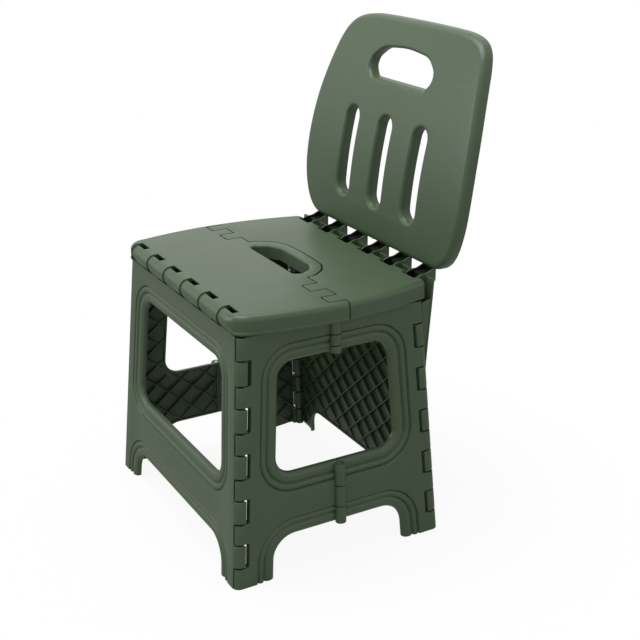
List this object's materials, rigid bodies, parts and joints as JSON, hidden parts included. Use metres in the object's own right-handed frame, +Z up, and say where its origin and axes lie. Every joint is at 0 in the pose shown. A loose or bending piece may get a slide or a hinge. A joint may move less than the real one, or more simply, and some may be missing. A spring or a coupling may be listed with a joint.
{
  "type": "folding step stool chair",
  "caption": "Folding plastic step stool with a fixed curved backrest; the seat folds into a ridge and the sides fold inwards, so that it lies flat and is carried by its handle slot.",
  "frame": {"origin": "on the floor, under the centre of the whole object's bounds", "axes": "+Z up, the front and the sitter's knees towards -Y, the back towards +Y, +X to the right of who looks at the front"},
  "size_m": [0.3594, 0.3576, 0.5879],
  "materials": {
    "green_plastic": "satin",
    "steel": "satin"
  },
  "bodies": {
    "rear_frame": {"rear_leg_panel": "green_plastic", "backrest": "green_plastic", "rear_seat_rod": "steel", "rear_right_corner_rod": "steel", "rear_left_corner_rod": "steel"},
    "right_rear_side": {"right_side_rear_half": "green_plastic"},
    "right_front_side": {"right_side_front_half": "green_plastic", "right_side_rod_upper": "steel", "right_side_rod_lower": "steel"},
    "front_frame": {"front_leg_panel": "green_plastic", "front_seat_rod": "steel", "front_right_corner_rod": "steel", "front_left_corner_rod": "steel"},
    "left_rear_side": {"left_side_rear_half": "green_plastic"},
    "left_front_side": {"left_side_front_half": "green_plastic", "left_side_rod_upper": "steel", "left_side_rod_lower": "steel"},
    "seat_rear": {"seat_rear_half": "green_plastic"},
    "seat_front": {"seat_front_half": "green_plastic", "seat_centre_rod_right": "steel", "seat_centre_rod_left": "steel"}
  },
  "joints": [
    {"name": "rear_right_corner_hinge", "type": "hinge", "parent": "rear_frame", "child": "right_rear_side", "pos_m": [0.14368, 0.06932, 0.32], "axis": [0.0677, 0.0677, -0.9954], "range_deg": [0, 90]},
    {"name": "right_side_centre_hinge", "type": "hinge", "parent": "right_rear_side", "child": "right_front_side", "pos_m": [0.1532, -0.03936, 0.32], "axis": [-0.0678, 0, 0.9977], "range_deg": [0, 179.48]},
    {"name": "front_right_corner_hinge", "type": "hinge", "parent": "right_front_side", "child": "front_frame", "pos_m": [0.14368, -0.14804, 0.32], "axis": [0.0677, -0.0677, -0.9954], "range_deg": [0, 90.01]},
    {"name": "rear_left_corner_hinge", "type": "hinge", "parent": "rear_frame", "child": "left_rear_side", "pos_m": [-0.14368, 0.06932, 0.32], "axis": [0.0677, -0.0677, 0.9954], "range_deg": [0, 90.01]},
    {"name": "left_side_centre_hinge", "type": "hinge", "parent": "left_rear_side", "child": "left_front_side", "pos_m": [-0.1532, -0.03936, 0.32], "axis": [-0.0678, 0, -0.9977], "range_deg": [0, 179.48]},
    {"name": "rear_seat_hinge", "type": "hinge", "parent": "rear_frame", "child": "seat_rear", "pos_m": [0, 0.07114, 0.312], "axis": [-1, 0, 0], "range_deg": [0, 86.14]},
    {"name": "front_seat_hinge", "type": "hinge", "parent": "front_frame", "child": "seat_front", "pos_m": [0, -0.15236, 0.3085], "axis": [1, 0, 0], "range_deg": [0, 86.14]}
  ],
  "couplings": [
    {"joint": "right_side_centre_hinge", "follows": "rear_right_corner_hinge", "ratio": 1.9942},
    {"joint": "front_right_corner_hinge", "follows": "rear_right_corner_hinge", "ratio": 1},
    {"joint": "rear_left_corner_hinge", "follows": "rear_right_corner_hinge", "ratio": 1},
    {"joint": "left_side_centre_hinge", "follows": "rear_right_corner_hinge", "ratio": 1.9942},
    {"joint": "rear_seat_hinge", "follows": "rear_right_corner_hinge", "ratio": 0.95698},
    {"joint": "front_seat_hinge", "follows": "rear_right_corner_hinge", "ratio": 0.95698}
  ]
}
